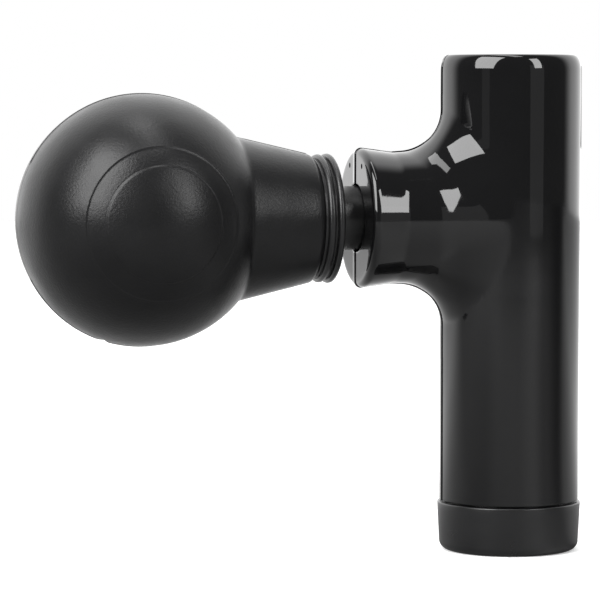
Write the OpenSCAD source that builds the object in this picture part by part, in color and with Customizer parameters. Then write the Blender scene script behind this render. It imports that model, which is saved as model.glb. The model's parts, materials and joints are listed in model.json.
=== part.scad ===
// Compact percussion massage gun with a removable ball head.
// Millimetres. +Z is up along the handle, the barrel points along -X.
// Origin: centre of the end cap's flat bottom face.

/* [Handle] */
// Height of the whole body above the surface it stands on
body_h = 141.4; // [138:0.2:150]
// Radius of the grip, a straight cylinder
grip_r = 19.9; // [19.9:0.1:21]
// Radius of the handle just under its top edge
top_r = 20.2; // [20.2:0.1:21]
// Height where the straight grip ends and the handle starts to widen
grip_top_z = 74; // [60:1:76]
// Radius of the rounded top edge
top_edge_r = 2.0; // [1:0.25:3]
// Radius of the cavity inside the handle
cavity_r = 18.0; // [17.8:0.1:18.1]

/* [End cap] */
// Height of the end cap
cap_h = 13.9; // [12:0.1:15]
// Gap between the cap's rim and the shells
cap_gap = 0.5; // [0.3:0.1:0.8]
// Radius of the cap at its rim
cap_rim_r = 20.5; // [20.2:0.1:21]
// Radius of the cap just above its rounded bottom edge
cap_foot_r = 19.9; // [19.5:0.1:20.2]
// Radius of the rounded bottom edge
cap_edge_r = 2.6; // [1:0.2:3]

/* [Barrel] */
// Height of the barrel's axis
axis_z = 95.4; // [94:0.2:97]
// Distance from the handle's axis to the front face of the nose
nose_x = 45.6; // [45:0.1:48]
// Outer radius of the nose
nose_r = 19.6; // [19:0.1:20]
// Rounding of the nose's front edge
nose_edge_r = 1.8; // [1:0.2:2.4]
// Outer radius of the barrel at its waist
barrel_r = 18.4; // [18.2:0.1:19]
// Radius of the cavity inside the barrel
barrel_cavity_r = 16.2; // [16:0.1:16.4]
// Thickness of the nose's front wall
nose_wall = 3.0; // [2.5:0.1:3]
// Radius of the hole in the nose that the head's plug passes through
nose_hole_r = 9.6; // [9.4:0.1:10.5]
// Radius of the concave blend between barrel and handle
saddle_r = 12; // [10:0.5:13]

/* [Drive] */
// Distance of the motor's axis behind the handle's axis
motor_x = 1.5; // [1:0.1:1.6]
// Throw of the crank, half of the stroke
crank_throw = 3; // [2:0.25:3]
// Distance between the two pins of the connecting rod
rod_len = 20; // [19.8:0.1:20]
// Outer radius of the rotor's bell
bell_r = 11; // [10.5:0.1:11]
// Number of stator teeth
teeth = 9; // [6:3:12]
// Number of rotor magnets
magnets = 12; // [8:2:14]
// Outer radius of the piston
piston_r = 10.5; // [10.2:0.1:10.5]

/* [Massage head] */
// Radius of the plug that fits the piston's socket
plug_r = 9.0; // [8.5:0.1:9]
// Distance from the handle's axis to the back face of the collar
collar_x = 53.2; // [52.5:0.1:55]
// Radius of the collar's rear disc
collar_r = 18.2; // [17.5:0.1:19]
// Distance from the handle's axis to the ball's centre
ball_x = 107.1; // [106:0.1:109]
// Radius of the ball
ball_r = 35; // [34:0.5:36]
// Thickness of the ball's hollow rubber skin
skin_t = 2.0; // [1.5:0.1:3]

/* [Controls] */
// Half width of the control panel on the back of the handle
panel_half_w = 7.4; // [6:0.1:8]
// How far the panel stands proud of the handle
panel_proud = 0.1; // [0.1:0.1:1]
// Height of the power button's centre
button_z = 121.5; // [120:0.5:123]
// Radius of the power button
button_r = 4.2; // [3.5:0.1:4.4]
// Travel of the power button
button_travel = 0.6; // [0.3:0.1:0.6]

/* [Battery] */
// Diameter of one cell
cell_d = 14.2; // [14:0.1:14.5]
// Length of one cell
cell_len = 50; // [48:0.5:50]

/* [Hidden] */
$fn = 64;
eps = 0.01;
// Play between round parts that fit inside each other and don't move
fit_gap = 0.05;

// Shells
shell_z = cap_h + cap_gap;
roof_t = 2.2;
roof_z = body_h - roof_t;

// Screw posts that join the two shells, as [x, z]
post_r = 2.6;
posts = [[-8, 131], [-11.5, 79], [12.2, 79], [-9.5, 22], [9.5, 22]];
pilot_r = 0.9;
clear_r = 1.15;
screw_head_r = 2.1;
screw_seat_y = 11;
screw_tip_y = -8;

// Cap screws, on the Y axis each side of the centre
cap_screw_y = 12.5;
cap_boss_r = 2.8;
cap_boss_top = 24;
spigot_top = shell_z + 3.6;
spigot_r = cavity_r - 0.1;

// Control panel, its recess and the board behind it
panel_z0 = 114.6;
panel_z1 = 138.4;
panel_floor_r = 18.8;
panel_r = top_r + panel_proud;
window_half_w = 5.2;
board_x = 10.5;
board_t = 1.2;
board_face = board_x + board_t;
board_half_w = 9.5;
board_z0 = 113;
board_z1 = 137.6;
led_z = [for (i = [0:4]) 127.8 + 1.9 * i];
lens_r = 0.7;
switch_h = 3.2;
plunger_r = 1.0;
stem_x = 15.6;

// Motor, layered along Y outwards from the connecting rod
rod_half_t = 2.0;
wheel_y0 = 2.6;
wheel_y1 = 4.4;
weight_y1 = 6.2;
bell_y0 = 6.4;
bell_y1 = 12.7;
mount_y0 = 13.2;
mount_y1 = 14.8;
shaft_r = 1.48;
bearing_in_r = 1.5;
bearing_out_r = 3.5;
tube_r = 4.6;
wheel_r = 10;
air_gap = 0.3;
magnet_t = 0.8;
bell_wall = 1.1;
magnet_r = bell_r - bell_wall;
stator_r = magnet_r - magnet_t - air_gap;
mount_half_w = 7.5;
mount_half_h = 15.5;
mount_screw = [4.5, 13];

// Crank pin, connecting rod and piston, at the retracted end of the stroke
crank_x = motor_x + crank_throw;
wrist_x = crank_x - rod_len;
crank_pin_r = 2.0;
wrist_pin_r = 1.5;
big_end_r = 6.2;
small_end_r = 4.0;
piston_back = wrist_x + 5;
piston_floor = wrist_x - 7;
piston_front = -nose_x + nose_wall + 2 * crank_throw + 0.3;
socket_r = plug_r + 0.03;
sleeve_in_r = piston_r + 0.05;
sleeve_out_r = 12.2;
sleeve_x0 = -nose_x + nose_wall + 1.1;
sleeve_x1 = -13;

// Massage head, from the collar to the ball
disc_t = 1.8;
groove_w = 0.7;
disc2_t = 2.1;
disc2_r = collar_r - 0.2;
hub_r = 16.8;
disc1_x = -collar_x - disc_t;
disc2_x = disc1_x - groove_w - disc2_t;
neck_x = disc2_x - groove_w;
neck_chamfer = 1.4;
neck_r = 18.1;
neck_slope = 0.235;
core_r = 15;
core_x = -76;
junction_x = -82;
plug_tip_x = piston_floor - 0.2;
ring_x = [plug_tip_x - 4.2, plug_tip_x - 8.8];
ring_minor_r = 0.8;

// Battery
pack_z = 26;
cell_offset = cell_d / sqrt(3) + 0.1;
holder_r = 16.6;

// ---------- helpers ----------

// Cylinder along X on the barrel's axis, from x0 to x1
module xcyl(x0, x1, r, r_end = -1) {
    translate([x0, 0, axis_z]) rotate([0, 90, 0])
        cylinder(h = x1 - x0, r1 = r, r2 = r_end < 0 ? r : r_end);
}

// Cylinder along X at a chosen y and z
module xpin(y, z, x0, x1, r) {
    translate([x0, y, z]) rotate([0, 90, 0]) cylinder(h = x1 - x0, r = r);
}

// Cylinder along Y, from y0 to y1
module ycyl(x, z, y0, y1, r) {
    translate([x, y0, z]) rotate([-90, 0, 0]) cylinder(h = y1 - y0, r = r);
}

// Cylinder along Z, from z0 to z1
module zcyl(x, y, z0, z1, r) {
    translate([x, y, z0]) cylinder(h = z1 - z0, r = r);
}

// Ring along Y around the motor's axis
module motor_ring(y0, y1, r_in, r_out) {
    difference() {
        ycyl(motor_x, axis_z, y0, y1, r_out);
        ycyl(motor_x, axis_z, y0 - 1, y1 + 1, r_in);
    }
}

// Box from its lowest corner to its highest corner
module box(lo, hi) {
    translate(lo) cube(hi - lo);
}

// Places its children on the motor's axis, turned by a, with +X as the radius
module on_motor(a) {
    translate([motor_x, 0, axis_z]) rotate([0, a, 0]) children();
}

// Direction that halves the bend of a wire's path at point i
function wire_dir(path, i) =
    let (d0 = i > 0 ? path[i] - path[i - 1] : path[1] - path[0],
         d1 = i < len(path) - 1 ? path[i + 1] - path[i] : d0)
    d0 / norm(d0) + d1 / norm(d1);
// Corner k of the wire's section at point i, square to that direction
function wire_point(path, i, k, r, sides) =
    let (t = wire_dir(path, i) / norm(wire_dir(path, i)),
         u0 = cross(t, [1, 0.2, 0.1]), u = u0 / norm(u0), v = cross(t, u),
         a = 360 * k / sides)
    path[i] + r * (cos(a) * u + sin(a) * v);

// A wire of radius r swept through the points in path
module wire(path, r, sides = 8) {
    last = len(path) - 1;
    polyhedron(
        points = [for (i = [0:last], k = [0:sides - 1]) wire_point(path, i, k, r, sides)],
        faces = concat(
            [[for (k = [0:sides - 1]) k]],
            [for (i = [0:last - 1], k = [0:sides - 1])
                let (a = i * sides + k, b = i * sides + (k + 1) % sides)
                [b, a, a + sides]],
            [for (i = [0:last - 1], k = [0:sides - 1])
                let (a = i * sides + k, b = i * sides + (k + 1) % sides)
                [b, a + sides, b + sides]],
            [[for (k = [0:sides - 1]) last * sides + sides - 1 - k]]));
}

// ---------- casing ----------

module handle_outer() {
    zcyl(0, 0, shell_z, grip_top_z, grip_r);
    translate([0, 0, grip_top_z - eps])
        cylinder(h = body_h - 10 - grip_top_z + 2 * eps, r1 = grip_r, r2 = top_r);
    rotate_extrude() {
        translate([0, body_h - 10]) square([top_r, 10 - top_edge_r]);
        translate([0, body_h - 10]) square([top_r - top_edge_r, 10]);
        translate([top_r - top_edge_r, body_h - top_edge_r]) circle(r = top_edge_r);
    }
}

module barrel_outer() {
    waist_x = -34;
    lip_x = -nose_x + nose_edge_r;
    xcyl(waist_x - eps, 0, barrel_r);
    xcyl(lip_x, waist_x, nose_r, barrel_r);
    translate([0, 0, axis_z]) rotate([0, -90, 0]) rotate_extrude() {
        translate([0, -lip_x - eps]) square([nose_r - nose_edge_r, nose_edge_r + eps]);
        translate([nose_r - nose_edge_r, -lip_x]) intersection() {
            circle(r = nose_edge_r);
            translate([-nose_edge_r, 0]) square(2 * nose_edge_r);
        }
    }
}

// Concave blends above and below the barrel: a quarter bend on each side,
// like a pipe elbow, whose ends lie just inside the barrel and the handle
module saddle() {
    dip = 0.1;
    bend_x = grip_r + saddle_r;
    bend_z = barrel_r + saddle_r;
    pipe_r = barrel_r - dip;
    for (s = [-1, 1]) intersection() {
        translate([-bend_x, 0, axis_z + s * bend_z]) rotate([90, 0, 0])
            rotate_extrude() translate([saddle_r + dip + pipe_r, 0]) circle(r = pipe_r);
        box([-bend_x, -25, axis_z + min(0, s * bend_z)], [0, 25, axis_z + max(0, s * bend_z)]);
    }
}

module casing_cavity() {
    zcyl(0, 0, shell_z - 1, roof_z, cavity_r);
    xcyl(-nose_x + nose_wall, 0, barrel_cavity_r);
    xcyl(-nose_x - 1, -nose_x + nose_wall + 1, nose_hole_r);
    for (y = [-6.3, 6.3]) xpin(y, axis_z + 14.7, -nose_x - 1, -nose_x + nose_wall + 1, 0.75);
}

// Recess for the control panel, with a window through to the board
module panel_recess() {
    difference() {
        box([0, -panel_half_w - 0.05, panel_z0 - 0.05],
            [30, panel_half_w + 0.05, panel_z1 + 0.05]);
        zcyl(0, 0, panel_z0 - 1, panel_z1 + 1, panel_floor_r);
    }
    box([15, -window_half_w, panel_z0 + 1.6], [30, window_half_w, panel_z1 - 1.6]);
}

// Fixings that stand inside one shell, on the side given by s (-1 or 1)
module shell_fixings(s) {
    intersection() {
        union() {
            for (p = posts) ycyl(p[0], p[1], min(0, s * 20), max(0, s * 20), post_r);
            // bosses for the cap screws, joined to the wall by a rib
            zcyl(0, s * cap_screw_y, shell_z, cap_boss_top, cap_boss_r);
            translate([-1.2, min(s * 13, s * 19), spigot_top + 0.2])
                cube([2.4, 6, cap_boss_top - spigot_top - 0.2]);
            // rails that hold the edges of the control board
            for (x = [board_x - 1.3, board_face + 0.1])
                translate([x, min(s * 8.2, s * 18), board_z0])
                    cube([1.2, 9.8, board_z1 - board_z0]);
        }
        zcyl(0, 0, shell_z, roof_z + 1, cavity_r + 0.5);
    }
}

module shell_half(s) {
    difference() {
        intersection() {
            union() {
                difference() {
                    union() {
                        handle_outer();
                        barrel_outer();
                        saddle();
                    }
                    casing_cavity();
                }
                shell_fixings(s);
            }
            box([-60, min(0, s * 30), 0], [30, max(0, s * 30), body_h + 1]);
        }
        panel_recess();
        zcyl(0, s * cap_screw_y, shell_z - 1, cap_boss_top - 1, pilot_r);
    }
}

module left_shell() {
    color("#141414") difference() {
        shell_half(-1);
        for (p = posts) ycyl(p[0], p[1], screw_tip_y - 1, 1, pilot_r);
    }
}

module right_shell() {
    color("#171717") difference() {
        union() {
            shell_half(1);
            for (x = [-1, 1], z = [-1, 1]) intersection() {
                ycyl(motor_x + x * mount_screw[0], axis_z + z * mount_screw[1],
                     mount_y1, 20, 2.4);
                zcyl(0, 0, shell_z, roof_z, cavity_r + 0.5);
            }
        }
        for (p = posts) {
            ycyl(p[0], p[1], -1, 25, clear_r);
            ycyl(p[0], p[1], screw_seat_y, 25, screw_head_r + 0.15);
        }
        for (x = [-1, 1], z = [-1, 1])
            ycyl(motor_x + x * mount_screw[0], axis_z + z * mount_screw[1],
                 mount_y1 - 1, 17.2, pilot_r);
    }
}

module end_cap() {
    color("#1b1b1b") difference() {
        union() {
            difference() {
                rotate_extrude() {
                    polygon([[0, 0], [cap_foot_r - cap_edge_r, 0],
                             [cap_foot_r - cap_edge_r, cap_edge_r],
                             [cap_foot_r, cap_edge_r], [cap_rim_r, cap_h], [0, cap_h]]);
                    translate([cap_foot_r - cap_edge_r, cap_edge_r]) intersection() {
                        circle(r = cap_edge_r);
                        translate([0, -cap_edge_r]) square(cap_edge_r);
                    }
                }
                zcyl(0, 0, 2.4, cap_h + 1, cavity_r);
            }
            difference() {
                zcyl(0, 0, cap_h - 2, spigot_top, spigot_r);
                zcyl(0, 0, cap_h - 3, spigot_top + 1, spigot_r - 1.5);
            }
            difference() {
                zcyl(0, 0, cap_h - 2, cap_h, cavity_r + 0.5);
                zcyl(0, 0, cap_h - 3, cap_h + 1, spigot_r - 1);
            }
            for (s = [-1, 1]) zcyl(0, s * cap_screw_y, 2, shell_z, cap_boss_r);
            // ribs under the charge board
            for (x = [-3, 12]) box([x, -6, 2], [x + 1.5, 6, 4.6]);
        }
        for (s = [-1, 1]) {
            zcyl(0, s * cap_screw_y, -1, shell_z + 1, clear_r);
            zcyl(0, s * cap_screw_y, -1, 2.6, screw_head_r + 0.15);
        }
        // charging port
        box([17, -4.7 + 1.8, 7.6 - 1.8], [25, 4.7 - 1.8, 7.6 + 1.8]);
        for (s = [-1, 1]) xpin(s * (4.7 - 1.8), 7.6, 17, 25, 1.8);
    }
}

module shell_screws() {
    color("silver") for (p = posts) {
        ycyl(p[0], p[1], screw_tip_y, screw_seat_y, pilot_r);
        difference() {
            ycyl(p[0], p[1], screw_seat_y, screw_seat_y + 1.4, screw_head_r);
            ycyl(p[0], p[1], screw_seat_y + 0.6, screw_seat_y + 2, 0.9, $fn = 6);
        }
    }
}

module cap_screws() {
    color("silver") for (s = [-1, 1]) {
        zcyl(0, s * cap_screw_y, 2.6, cap_boss_top - 2, pilot_r);
        difference() {
            zcyl(0, s * cap_screw_y, 1.2, 2.6, screw_head_r);
            zcyl(0, s * cap_screw_y, 0, 2.0, 0.9, $fn = 6);
        }
    }
}

// ---------- controls and electronics ----------

module control_panel() {
    color("#101010") difference() {
        intersection() {
            zcyl(0, 0, panel_z0, panel_z1, panel_r);
            box([0, -panel_half_w, panel_z0], [30, panel_half_w, panel_z1]);
        }
        zcyl(0, 0, panel_z0 - 1, panel_z1 + 1, panel_floor_r + fit_gap);
        xpin(0, button_z, 10, 30, button_r + 0.15);
        for (z = led_z) xpin(0, z, 10, 30, lens_r);
    }
}

module led_lenses() {
    color("white", 0.6) for (z = led_z) xpin(0, z, 17.2, panel_r + 0.05, lens_r);
}

module power_button() {
    back_x = 17.0;
    color("#202020") {
        xpin(0, button_z, back_x, panel_r + 0.35, button_r);
        xpin(0, button_z, back_x, back_x + 0.9, button_r + 0.6);
        xpin(0, button_z, stem_x, back_x + eps, 1.4);
    }
}

module switch_plunger() {
    color("#333333") xpin(0, button_z, board_face + 1.3, stem_x, plunger_r);
}

module tact_switch() {
    color("silver") difference() {
        box([board_face, -3, button_z - 3], [board_face + switch_h, 3, button_z + 3]);
        xpin(0, button_z, board_face + 0.5, board_face + switch_h + 1, plunger_r + 0.05);
    }
}

module control_board() {
    color("darkgreen") difference() {
        box([board_x, -board_half_w, board_z0], [board_face, board_half_w, board_z1]);
        for (z = [board_z0 + 1.4, board_z1 - 1.4]) xpin(0, z, board_x - 1, board_face + 1, 0.8);
    }
}

module speed_leds() {
    color("white") for (z = led_z) box([board_face, -0.5, z - 0.6], [board_face + 0.7, 0.5, z + 0.6]);
}

module driver_chips() {
    color("#222222") {
        box([board_x - 1.0, -3.5, 119], [board_x, 3.5, 126]);
        for (y = [-6.2, -1.6, 3.0]) box([board_x - 1.1, y, 128.5], [board_x, y + 3.2, 133.5]);
        xpin(0, 115.8, board_x - 5, board_x, 2.2);
    }
}

module charge_board() {
    color("darkgreen") box([-5, -6.8, 4.6], [15.6, 6.8, 5.8]);
}

module usb_socket() {
    color("silver") difference() {
        union() {
            box([11, -4.45 + 1.6, 5.8], [18.6, 4.45 - 1.6, 9.0]);
            for (s = [-1, 1]) xpin(s * (4.45 - 1.6), 7.4, 11, 18.6, 1.6);
        }
        box([12, -2.9, 6.2], [19, 2.9, 8.6]);
        for (s = [-1, 1]) xpin(s * 2.9, 7.4, 12, 19, 1.2);
    }
}

// ---------- battery ----------

module at_cells() {
    for (i = [0:2]) rotate([0, 0, 120 * i]) translate([cell_offset, 0, 0]) children();
}

module battery_cells() {
    color("#1e4e8c") at_cells() {
        zcyl(0, 0, pack_z, pack_z + cell_len - 1, cell_d / 2);
        zcyl(0, 0, pack_z + cell_len - 1 - eps, pack_z + cell_len, 2.8);
    }
}

// Moulded frames round both ends of the cells
module cell_holders() {
    color("#e8e8e8") for (z = [pack_z + 1, pack_z + cell_len - 6]) difference() {
        zcyl(0, 0, z, z + 4, holder_r);
        at_cells() zcyl(0, 0, z - 1, z + 5, cell_d / 2 + fit_gap);
        zcyl(0, 0, z - 1, z + 5, 1.0);
    }
}

module cell_tabs() {
    top = pack_z + cell_len;
    color("gainsboro") {
        for (a = [60, 180]) rotate([0, 0, a])
            box([cell_offset / 2 - 1.6, -cell_offset * 0.86 - 2.5, top],
                [cell_offset / 2 + 1.6, cell_offset * 0.86 + 2.5, top + 0.2]);
    }
}

module battery_foam() {
    color("#444444") difference() {
        zcyl(0, 0, pack_z - 1, pack_z, 15.5);
        zcyl(0, 0, pack_z - 2, pack_z + 1, 8);
    }
}

// ---------- motor ----------

module motor_mount() {
    color("silver") difference() {
        union() {
            box([motor_x - mount_half_w, mount_y0, axis_z - mount_half_h],
                [motor_x + mount_half_w, mount_y1, axis_z + mount_half_h]);
            ycyl(motor_x, axis_z, bell_y0 + 1.8, mount_y0 + eps, tube_r);
        }
        ycyl(motor_x, axis_z, 0, 20, bearing_out_r);
        for (x = [-1, 1], z = [-1, 1])
            ycyl(motor_x + x * mount_screw[0], axis_z + z * mount_screw[1], 0, 20, clear_r);
        // slot for the motor leads
        box([motor_x - 2.4, mount_y0 - 1, axis_z + 6], [motor_x + 2.4, mount_y1 + 1, axis_z + 8]);
    }
}

module mount_screws() {
    color("silver") for (x = [-1, 1], z = [-1, 1]) {
        sx = motor_x + x * mount_screw[0];
        sz = axis_z + z * mount_screw[1];
        ycyl(sx, sz, mount_y0, 17, pilot_r);
        ycyl(sx, sz, mount_y0 - 1.1, mount_y0, 1.7);
    }
}

// Outline of the stator's laminations: a ring, and teeth that widen at the air gap
module lamination() {
    difference() {
        circle(r = tube_r + 1.2);
        circle(r = tube_r);
    }
    for (i = [0:teeth - 1]) rotate(360 * i / teeth) {
        translate([tube_r + 0.8, -0.8]) square([stator_r - tube_r - 1.4, 1.6]);
        intersection() {
            difference() {
                circle(r = stator_r);
                circle(r = stator_r - 0.9);
            }
            translate([0, -2.2]) square([20, 4.4]);
        }
    }
}

module stator_core() {
    y0 = bell_y0 + 2.2;
    y1 = mount_y0 - 1.4;
    color("dimgray") translate([motor_x, y1, axis_z]) rotate([90, 0, 0])
        linear_extrude(y1 - y0) lamination();
}

module stator_windings() {
    y0 = bell_y0 + 2.2;
    y1 = mount_y0 - 1.4;
    color("#b46a2c") for (i = [0:teeth - 1]) on_motor(360 * i / teeth) difference() {
        box([tube_r + 1.4, y0 - 0.6, -1.35], [stator_r - 1.0, y1 + 0.6, 1.35]);
        box([0, y0, -0.8], [20, y1, 0.8]);
    }
}

module motor_bearings() {
    color("lightgray") for (y = [8.4, 12.2]) {
        motor_ring(y, y + 2.5, bearing_in_r, 2.0);
        motor_ring(y, y + 2.5, 3.0, bearing_out_r);
        for (i = [0:6]) on_motor(360 * i / 7) translate([2.5, y + 1.25, 0]) sphere(r = 0.48);
    }
}

// Three leads, through the slot in the mount and up to the board
module motor_leads() {
    color("#c03030") for (i = [-1:1])
        wire([[motor_x + 1.5 * i, 12.9, axis_z + 7], [motor_x + 1.5 * i, 15.6, axis_z + 7],
              [motor_x + 1.5 * i, 15.6, 112], [board_x - 3, 6.5 + i, 116 + 2 * i],
              [board_x, 6.5 + i, 116 + 2 * i]], 0.45);
}

// Two leads from the pack, past the crank on the free side, up to the board
module battery_leads() {
    top = pack_z + cell_len;
    color("#202020") for (i = [-1, 1])
        wire([[4 + i, -4, top + 0.2], [4 + i, -9, top + 5], [4 + i, -9, 108],
              [board_x - 3, -7, 115 - 1.3 * i], [board_x, -7, 115 - 1.3 * i]], 0.6);
}

module guide_sleeve() {
    color("#d8d4c8") difference() {
        xcyl(sleeve_x0, sleeve_x1, sleeve_out_r);
        xcyl(sleeve_x0 - 1, sleeve_x1 + 1, sleeve_in_r);
    }
}

module damper_rings() {
    color("#303030") for (x = [sleeve_x0 + 1.5, sleeve_x1 - 8]) difference() {
        xcyl(x, x + 4, barrel_cavity_r - fit_gap);
        xcyl(x - 1, x + 5, sleeve_out_r + fit_gap);
    }
}

// ---------- rotor ----------

module rotor_bell() {
    color("gray") difference() {
        ycyl(motor_x, axis_z, bell_y0, bell_y1, bell_r);
        ycyl(motor_x, axis_z, bell_y0 + 1.2, bell_y1 + 1, magnet_r);
        ycyl(motor_x, axis_z, bell_y0 - 1, bell_y1, shaft_r);
        for (i = [0:5]) on_motor(60 * i + 30) translate([6.2, bell_y0 - 1, 0])
            rotate([-90, 0, 0]) cylinder(h = 4, r = 1.6);
    }
}

module rotor_magnets() {
    half = 180 / magnets - 1.2;
    out = magnet_r + 4;
    color("#555566") for (i = [0:magnets - 1]) on_motor(360 * i / magnets)
        rotate([-90, 0, 0]) translate([0, 0, bell_y0 + 1.5]) intersection() {
            difference() {
                cylinder(h = 4.5, r = magnet_r);
                translate([0, 0, -1]) cylinder(h = 7, r = magnet_r - magnet_t);
            }
            linear_extrude(4.5) polygon([[0, 0], [out * cos(half), out * sin(half)],
                                         [out * cos(half), -out * sin(half)]]);
        }
}

module motor_shaft() {
    color("silver") ycyl(motor_x, axis_z, wheel_y0, mount_y1 + 1, shaft_r);
}

module shaft_clip() {
    color("#777777") difference() {
        motor_ring(mount_y1 + 0.1, mount_y1 + 0.6, shaft_r, 2.7);
        box([motor_x, mount_y1, axis_z - 0.7], [motor_x + 4, mount_y1 + 1, axis_z + 0.7]);
    }
}

module crank_wheel() {
    color("lightgray") difference() {
        union() {
            ycyl(motor_x, axis_z, wheel_y0, wheel_y1, wheel_r);
            ycyl(motor_x, axis_z, wheel_y1 - eps, bell_y0, 3.4);
        }
        ycyl(motor_x, axis_z, 0, 10, shaft_r);
        ycyl(crank_x, axis_z, wheel_y0 - 1, wheel_y1 - 0.3, crank_pin_r);
        for (a = [-50, 50]) on_motor(a) translate([7.2, 0, 0])
            rotate([-90, 0, 0]) cylinder(h = 10, r = 1.6);
    }
}

module counterweight() {
    color("#b09a50") intersection() {
        motor_ring(wheel_y1, weight_y1, 3.6, wheel_r);
        box([motor_x - 12, 0, axis_z - 12], [motor_x - 0.8, 10, axis_z + 12]);
    }
}

// ---------- connecting rod ----------

module connecting_rod() {
    color("silver") difference() {
        union() {
            ycyl(crank_x, axis_z, -rod_half_t, rod_half_t, big_end_r);
            ycyl(wrist_x, axis_z, -rod_half_t, rod_half_t, small_end_r);
            box([wrist_x + 2, -1.5, axis_z - 2.5], [crank_x - 4, 1.5, axis_z + 2.5]);
        }
        ycyl(crank_x, axis_z, -5, 5, 4.5);
        ycyl(wrist_x, axis_z, -5, 5, 2.3);
    }
}

module big_end_bearing() {
    color("lightgray") {
        for (r = [[crank_pin_r, 2.7], [3.7, 4.5]]) difference() {
            ycyl(crank_x, axis_z, -rod_half_t, rod_half_t, r[1]);
            ycyl(crank_x, axis_z, -rod_half_t - 1, rod_half_t + 1, r[0]);
        }
        for (i = [0:6]) translate([crank_x, 0, axis_z]) rotate([0, 360 * i / 7, 0])
            translate([3.2, 0, 0]) sphere(r = 0.48);
    }
}

module small_end_bush() {
    color("#a8773a") difference() {
        ycyl(wrist_x, axis_z, -rod_half_t, rod_half_t, 2.3);
        ycyl(wrist_x, axis_z, -rod_half_t - 1, rod_half_t + 1, wrist_pin_r + 0.03);
    }
}

// The pin stops just short of the crank wheel
module crank_pin() {
    color("silver") {
        ycyl(crank_x, axis_z, -rod_half_t - 0.4, wheel_y0 - 0.3, crank_pin_r);
        ycyl(crank_x, axis_z, -rod_half_t - 1.2, -rod_half_t - 0.4 + eps, 3);
    }
}

// ---------- piston ----------

module piston() {
    color("#c8c8cc") difference() {
        xcyl(piston_front, piston_back, piston_r);
        xcyl(piston_front - 1, piston_floor, socket_r);
        box([piston_floor + 2, -rod_half_t - 0.4, axis_z - 5.5],
            [piston_back + 1, rod_half_t + 0.4, axis_z + 5.5]);
        ycyl(wrist_x, axis_z, -15, 15, wrist_pin_r);
        // relief for the head of the crank pin and the wheel
        for (s = [-1, 1]) box([wrist_x + 3, min(s * 2, s * 6), axis_z - 5.5],
                              [piston_back + 1, max(s * 2, s * 6), axis_z + 5.5]);
    }
}

module wrist_pin() {
    color("silver") ycyl(wrist_x, axis_z, -9.8, 9.8, wrist_pin_r);
}

// ---------- massage head ----------

module head_plug() {
    chamfer = 1.0;
    color("#202020") difference() {
        union() {
            xcyl(-collar_x, plug_tip_x - chamfer, plug_r);
            xcyl(plug_tip_x - chamfer - eps, plug_tip_x, plug_r, plug_r - chamfer);
        }
        for (x = ring_x) difference() {
            xcyl(x - ring_minor_r - 0.05, x + ring_minor_r + 0.05, plug_r + 1);
            xcyl(x - 3, x + 3, plug_r - 2 * ring_minor_r);
        }
        xcyl(-collar_x + 12, plug_tip_x + 1, 5.2);
        xcyl(-collar_x - 1, -collar_x + 13, 1.6);
    }
}

module plug_o_rings() {
    color("#0a0a0a") for (x = ring_x) translate([x, 0, axis_z]) rotate([0, 90, 0])
        rotate_extrude() translate([plug_r - ring_minor_r, 0]) circle(r = ring_minor_r);
}

module plug_screw() {
    color("silver") {
        xcyl(neck_x - 1.6 - eps, -collar_x + 11, 1.6);
        difference() {
            xcyl(neck_x - 4.2, neck_x - 1.6, 3.4);
            translate([neck_x - 5, 0, axis_z]) rotate([0, 90, 0]) cylinder(h = 2.4, r = 1.6, $fn = 6);
        }
    }
}

// Rear disc of the collar, with the hub that carries the clamp ring
module collar_disc() {
    edge = 0.5;
    color("#1c1c1c") difference() {
        union() {
            xcyl(-collar_x - edge, -collar_x, collar_r, collar_r - edge);
            xcyl(disc1_x + edge, -collar_x - edge + eps, collar_r);
            xcyl(disc1_x, disc1_x + edge + eps, collar_r - edge, collar_r);
            xcyl(neck_x, disc1_x + eps, 12);
            xcyl(disc1_x - groove_w, disc1_x + eps, hub_r);
        }
        xcyl(neck_x - 1, -collar_x + 1, 1.6);
    }
}

module clamp_ring() {
    edge = 0.5;
    color("#1c1c1c") difference() {
        union() {
            xcyl(disc2_x, disc2_x + edge + eps, disc2_r - edge, disc2_r);
            xcyl(disc2_x + edge, disc2_x + disc2_t - edge, disc2_r);
            xcyl(disc2_x + disc2_t - edge - eps, disc2_x + disc2_t, disc2_r, disc2_r - edge);
            xcyl(neck_x, disc2_x + eps, hub_r);
        }
        xcyl(neck_x - 1, disc2_x + disc2_t + 1, 12 + fit_gap);
    }
}

// Rigid cup inside the neck that the rubber is moulded onto
module neck_core() {
    color("#262626") difference() {
        xcyl(core_x, neck_x, core_r);
        xcyl(core_x - 1, neck_x - 1.6, core_r - 2);
        xcyl(neck_x - 3, neck_x + 1, 1.6);
    }
}

module massage_ball() {
    cone_x = neck_x - neck_chamfer;
    ball_inner_r = ball_r - skin_t;
    bore_x = -ball_x + sqrt(ball_inner_r * ball_inner_r - core_r * core_r) - 1;
    color("#181818") difference() {
        union() {
            translate([-ball_x, 0, axis_z]) rotate([0, 90, 0]) sphere(r = ball_r);
            xcyl(junction_x - 3, cone_x, neck_r + neck_slope * (cone_x - junction_x + 3), neck_r);
            xcyl(cone_x - eps, neck_x, neck_r, hub_r);
        }
        translate([-ball_x, 0, axis_z]) rotate([0, 90, 0]) sphere(r = ball_inner_r);
        xcyl(bore_x, neck_x + 1, core_r);
    }
}

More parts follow.
